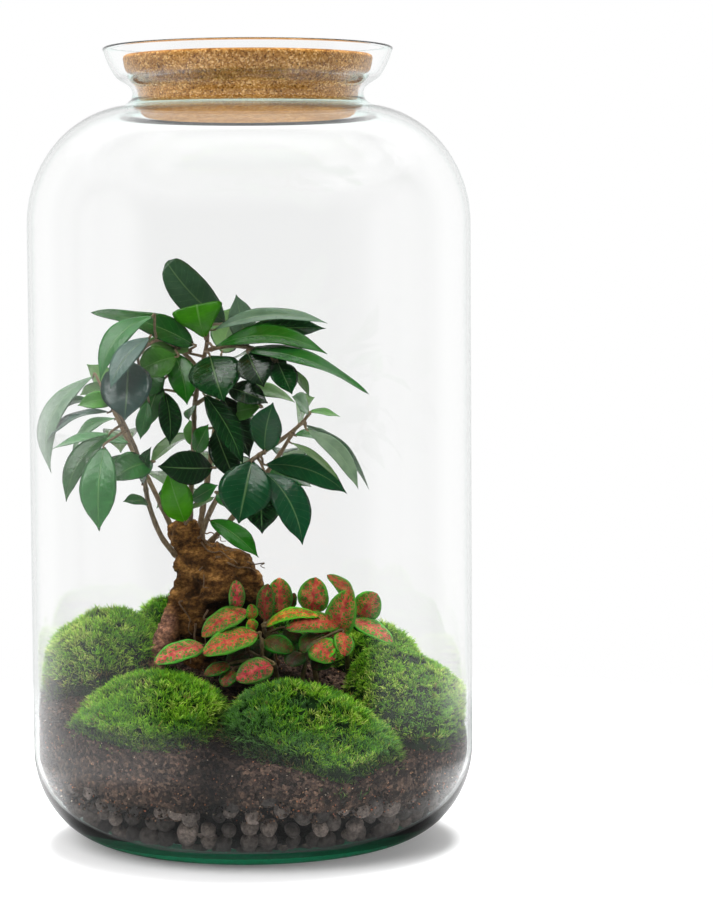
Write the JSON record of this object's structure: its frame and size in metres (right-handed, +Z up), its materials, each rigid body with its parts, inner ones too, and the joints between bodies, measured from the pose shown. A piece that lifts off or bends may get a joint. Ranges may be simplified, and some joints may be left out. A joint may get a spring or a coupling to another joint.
{
  "type": "glass plant terrarium",
  "caption": "Closed glass jar with a cork stopper holding clay granules, soil, moss cushions, a small fig tree with a swollen trunk and a red-veined nerve plant.",
  "frame": {"origin": "centre of the jar's base, at the level it stands on", "axes": "+Z up along the jar's axis, -Y towards the front, +X to the right seen from the front"},
  "size_m": [0.239, 0.24, 0.43],
  "materials": {
    "glass": "clear, polished",
    "cork": "agglomerated cork, matte",
    "clay_granules": "fired clay, rough",
    "soil": "moist potting soil, crumbly",
    "moss": "dense short moss",
    "bark": "rough bark",
    "fig_leaf": "waxy, semi-gloss",
    "nerve_leaf": "soft, slightly matte"
  },
  "bodies": {
    "root": {"jar": "glass", "cork_stopper": "cork", "drainage_granules": "clay_granules", "soil": "soil", "moss_1": "moss", "moss_2": "moss", "moss_3": "moss", "moss_4": "moss", "moss_5": "moss", "moss_6": "moss", "moss_7": "moss", "ficus_trunk": "bark", "ficus_leader": "fig_leaf", "ficus_left": "fig_leaf", "ficus_upper_left": "fig_leaf", "ficus_upper_right": "fig_leaf", "ficus_middle_right": "fig_leaf", "ficus_right": "fig_leaf", "ficus_back": "fig_leaf", "ficus_back_left": "fig_leaf", "ficus_back_right": "fig_leaf", "fittonia_left": "nerve_leaf", "fittonia_front": "nerve_leaf", "fittonia_middle": "nerve_leaf", "fittonia_right": "nerve_leaf", "fittonia_far_right": "nerve_leaf", "fittonia_low": "nerve_leaf"}
  },
  "joints": []
}
